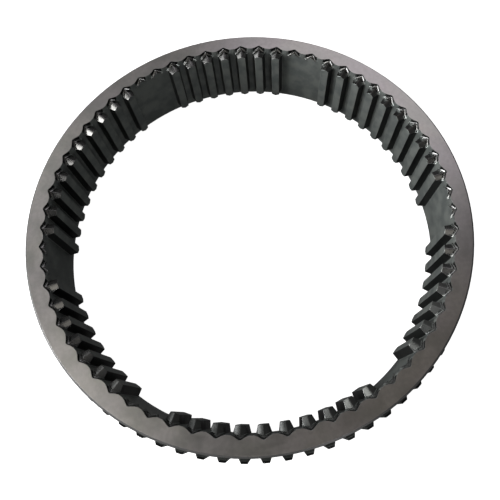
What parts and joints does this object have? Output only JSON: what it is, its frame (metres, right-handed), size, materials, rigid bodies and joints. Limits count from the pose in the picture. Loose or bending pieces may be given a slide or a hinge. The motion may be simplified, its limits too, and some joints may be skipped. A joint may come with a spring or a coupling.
{
  "type": "gearbox sliding sleeve",
  "caption": "Gearbox sliding sleeve: a one-piece steel ring with grouped, roof-ended internal teeth, a shift fork groove and a band of external gear teeth.",
  "frame": {"origin": "on the ring's axis, in the plane of the lower face that it rests on", "axes": "+Z along the ring's axis towards the ground end face, -Y through the middle of a long group of internal teeth"},
  "size_m": [0.185, 0.185, 0.034],
  "materials": {
    "steel": "hardened and darkened, with a satin ground end face"
  },
  "bodies": {
    "root": {"sliding_sleeve": "steel"}
  },
  "joints": []
}
